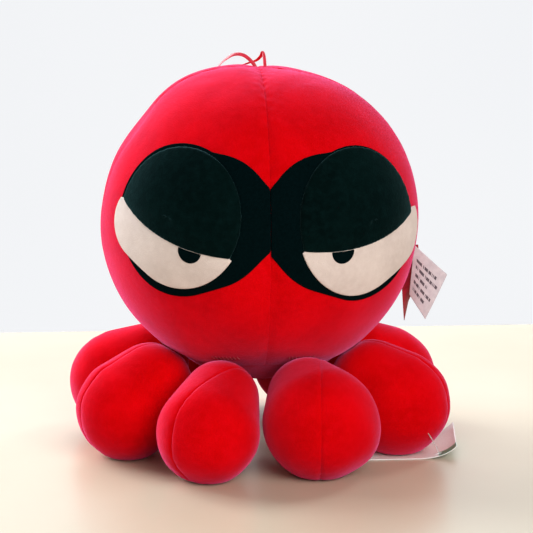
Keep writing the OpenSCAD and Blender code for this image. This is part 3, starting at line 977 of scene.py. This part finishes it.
CELLS = 48                                # the label's faces along each side
ROW_CELLS = 7                             # and those from one printed row to the next
ROW_ENDS = (0, 0.8, 0.9, 0.6, 0.86, 0.7, 0)
label_points, label_faces, front = sheet_mesh(label_surface, CELLS + 1, CELLS + 1, 0.25 * MM)
ink = np.zeros(len(label_faces), int)
for index in range(front):
    i, j = divmod(index, CELLS)
    row = j // ROW_CELLS
    on_row = j % ROW_CELLS in (2, 3, 4)
    dash = (i * 7 + row * 11) % 13 not in (0, 1) and (i + row * 5) % 9 != 3
    if on_row and dash and 0.12 < (i + 0.5) / CELLS < ROW_ENDS[row]:
        ink[index] = 1
        ink[index + front] = 1
label = add_mesh("care_label_satin", label_points, label_faces, mats=[satin_white, label_ink],
                 indices=ink)
place(label, "care_label", "satin_white", "care_label")
steps = np.linspace(0, 1, 25)
across, down = np.meshgrid(steps, steps)
grid = label_surface(across.ravel(), down.ravel()).reshape(25, 25, 3)


STRIP_WIDE, STRIP_LONG = 10.0 * MM, 52 * MM


def side_ribbon_surface(s, t):
    """A red ribbon beside the label; t runs down it and s across. It twists as it hangs,
    and it is gathered at its root."""
    z = (131 - 51 * t) * MM
    gather = np.interp(t, [0, 0.35], [0.35, 1])
    twist = np.radians(np.interp(t, [0, 0.3, 0.55, 0.78, 1], [14, 16, 26, 62, 80]))
    near_head = 0.9 * MM + np.maximum(seam_x(z, 0.5 * MM)[:, 0], (95 + 2.2 * t * t) * MM)
    x = near_head + STRIP_WIDE / 2 * np.cos(twist) * gather
    y = (4.4 + 1.6 * t) * MM
    across = (s - 0.5) * STRIP_WIDE * gather
    return np.stack([x + across * np.cos(twist), y + across * np.sin(twist), z], 1)


strip_points, strip_faces, _ = sheet_mesh(side_ribbon_surface, 11, 41, 0.3 * MM)
# Its darker satin is painted shade from the head, not a darker ribbon.
strip = add_mesh("side_ribbon_satin", strip_points, strip_faces, mats=[satin_red_painted_shade])
place(strip, "side_ribbon", "satin_red", "side_ribbon")


# ---- swing tag and its pin ----

TAG_LEFT, TAG_BEND, TAG_RIGHT = 58 * MM, 101 * MM, 126 * MM
TAG_FRONT, TAG_BACK = -59 * MM, -9 * MM
CURL_R = 30 * MM
CARD_THICK = 0.5 * MM
HOLE = np.array([115.5, -54.5]) * MM
HOLE_R = 1.5 * MM
PIN_R, BAR_R = 0.32 * MM, 0.42 * MM


def curl(x):
    """Height of the tag's underside above the floor."""
    return CURL_R - np.sqrt(np.maximum(CURL_R**2 - np.maximum(x - TAG_BEND, 0) ** 2, 0))


def corner_drop(x, y):
    """The card curls less at its front outer corner than further back."""
    out = np.clip((x - TAG_BEND) / (TAG_RIGHT - TAG_BEND), 0, 1)
    front = np.clip((-20 * MM - y) / (39 * MM), 0, 1)
    return MM * out**2 * (2 + 3 * front)


def skew(x, y):
    """The outer end is cut a little askew: its back corner reaches further out."""
    out = np.clip((x - TAG_BEND) / (TAG_RIGHT - TAG_BEND), 0, 1)
    return 5 * MM * out * (y - TAG_FRONT) / (TAG_BACK - TAG_FRONT)


def tag_mesh():
    """The curled card with a punched hole: a grid whose points near the hole move onto its rim."""
    bend = math.asin((TAG_RIGHT - TAG_BEND) / CURL_R)
    xs = np.concatenate([np.linspace(TAG_LEFT, TAG_BEND, 23)[:-1],
                         TAG_BEND + CURL_R * np.sin(np.linspace(0, bend, 25))])
    ys = np.linspace(TAG_FRONT, TAG_BACK, 41)
    wide, tall = len(xs), len(ys)
    gx, gy = np.meshgrid(xs, ys, indexing="ij")
    dist = np.hypot(gx - HOLE[0], gy - HOLE[1])
    inside = dist < HOLE_R * 1.05
    keep_quads, ink_ids, face_ink = [], [], []
    touch = np.zeros_like(inside)
    for i in range(wide):
        for j in range(tall):
            if inside[i, j]:
                for a in (-1, 0, 1):
                    for b in (-1, 0, 1):
                        if not inside[i + a, j + b]:
                            touch[i + a, j + b] = True
    gx = np.where(touch, HOLE[0] + (gx - HOLE[0]) * HOLE_R / np.maximum(dist, 1e-9), gx)
    gy = np.where(touch, HOLE[1] + (gy - HOLE[1]) * HOLE_R / np.maximum(dist, 1e-9), gy)
    under = curl(gx) - corner_drop(gx, gy)
    slope = np.arcsin(np.clip((gx - TAG_BEND) / CURL_R, 0, 0.99))
    gx = gx + skew(gx, gy)
    low = np.stack([gx, gy, under + 0.02 * MM], -1).reshape(-1, 3)
    top = np.stack([gx - np.sin(slope) * CARD_THICK, gy, under + np.cos(slope) * CARD_THICK], -1)
    top = top.reshape(-1, 3)
    count = wide * tall
    for i in range(wide - 1):
        for j in range(tall - 1):
            if inside[i:i + 2, j:j + 2].any():
                continue
            keep_quads.append((i * tall + j, (i + 1) * tall + j, (i + 1) * tall + j + 1,
                               i * tall + j + 1))
            x, y = xs[i], ys[j]
            printed = TAG_BEND + 9 * MM < x < TAG_RIGHT - 1.5 * MM
            ink_ids.append((1 if y > TAG_FRONT + 7 * MM else 2) if printed else 0)
            face_ink.append(1 if x > TAG_BEND + 13 * MM and y < TAG_FRONT + 7 * MM else 0)
    edges = dict.fromkeys((q[k], q[(k + 1) % 4]) for q in keep_quads for k in range(4))
    rim = [(b + count, a + count, a, b) for a, b in edges if (b, a) not in edges]
    faces = [tuple(k + count for k in q) for q in keep_quads]
    faces += [q[::-1] for q in keep_quads]
    indices = face_ink + ink_ids + [0] * len(rim)
    used = sorted({k for f in faces for k in f})
    back = {k: n for n, k in enumerate(used)}
    points = np.concatenate([low, top])[used]
    remap = [tuple(back[k] for k in f) for f in faces + rim]
    return points, remap, indices


tag_points, tag_faces, tag_ink = tag_mesh()
tag = add_mesh("swing_tag_card", tag_points, tag_faces,
               mats=[white_card, green_print, grey_print], indices=tag_ink)
place(tag, "swing_tag", "card_white", "swing_tag")

pin_in = np.array([101.5, -67.8, 25.2]) * MM
pin_out = np.array([*HOLE, float(curl(HOLE[0]) - corner_drop(*HOLE)) - 0.6 * MM])
pin_line = smooth_line([pin_in, pin_in * 0.66 + pin_out * 0.34 + np.array([0.8, -0.9, 0.3]) * MM,
                        pin_in * 0.3 + pin_out * 0.7 + np.array([0.5, -0.5, 0.4]) * MM, pin_out], 8)
bar = [pin_out + np.array([0, y, 0]) * MM for y in np.linspace(-2.5, 2.5, 7)]
pin = add_mesh("tag_pin_filament", *join_parts([tube(pin_line, PIN_R, 10),
                                                tube(bar, BAR_R, 10)]), mats=[clear_nylon])
place(pin, "side_right_leg", "nylon_clear", "tag_pin")


# ---- floor, light and surroundings ----

def floor_material():
    n = Nodes("pale_floor")
    grain = n.noise(6, 3, 0.5)
    color = n.ramp(grain, [(0.3, (0.56, 0.49, 0.37)), (0.7, (0.61, 0.54, 0.42))])
    return n.set(color=color, rough=0.28, gloss=0.5)


floor = add_mesh("floor", [(-2.5, -1.4, 0), (2.5, -1.4, 0), (2.5, 0.34, 0), (-2.5, 0.34, 0)],
                 [(0, 1, 2, 3)], smooth=False, mats=[floor_material()])
floor.location.z = -0.1 * MM


def wall_material():
    """A pale wall that glows a little, as if lit by the window."""
    n = Nodes("pale_wall")
    blotch = n.noise(0.5, 2, 0.5)
    color = n.ramp(blotch, [(0.3, (0.90, 0.92, 0.95)), (0.7, (0.95, 0.96, 0.98))])
    n.tree.links.new(color, n.shader.inputs["Emission Color"])
    n.shader.inputs["Emission Strength"].default_value = 0.85
    return n.set(color=(0.2, 0.2, 0.2), rough=0.9)


def dim_material():
    """The unlit side of the room."""
    n = Nodes("dim_side")
    color = n.ramp(n.noise(0.8), [(0.3, (0.05, 0.05, 0.05)), (0.7, (0.09, 0.08, 0.08))])
    return n.set(color=color, rough=0.9)


wall = add_mesh("wall", [(-4.5, 3.2, -2), (0.9, 3.2, -2), (0.9, 3.2, 4), (-4.5, 3.2, 4)],
                [(0, 1, 2, 3)], smooth=False, mats=[wall_material()])
dim_side = add_mesh("dim_side", [(0.9, 3.25, -2), (2.7, 2.2, -2), (2.7, -2.5, -2),
                                 (0.9, 3.25, 4), (2.7, 2.2, 4), (2.7, -2.5, 4)],
                    [(0, 1, 4, 3), (1, 2, 5, 4)], smooth=False, mats=[dim_material()])


def area_light(name, place_at, look_at, size, power, color):
    data = bpy.data.lights.new(name, "AREA")
    data.shape, data.size, data.size_y = "RECTANGLE", *size
    data.energy, data.color = power, color
    obj = bpy.data.objects.new(name, data)
    bpy.context.scene.collection.objects.link(obj)
    obj.location = place_at
    obj.rotation_mode = "QUATERNION"
    obj.rotation_quaternion = (Vector(look_at) - Vector(place_at)).to_track_quat("-Z", "Y")


middle = (0, 0, 0.14)
area_light("window_left", (-1.6, 1.05, 0.95), middle, (1.2, 1.6), 76, (0.90, 0.95, 1.0))
area_light("window_back", (-0.3, 1.6, 1.5), middle, (2.2, 0.9), 44, (0.93, 0.97, 1.0))
area_light("window_right", (1.3, 1.0, 1.5), middle, (0.6, 0.6), 12, (0.95, 0.98, 1.0))
area_light("fill_front", (0.8, -1.9, 1.1), middle, (1.6, 1.2), 44, (1.0, 0.96, 0.93))

world = bpy.data.worlds.new("pale_room")
world.use_nodes = True
world.node_tree.nodes["Background"].inputs["Color"].default_value = (0.95, 0.96, 0.98, 1)
world.node_tree.nodes["Background"].inputs["Strength"].default_value = 0.27
bpy.context.scene.world = world
bpy.context.scene.view_settings.view_transform = "Standard"
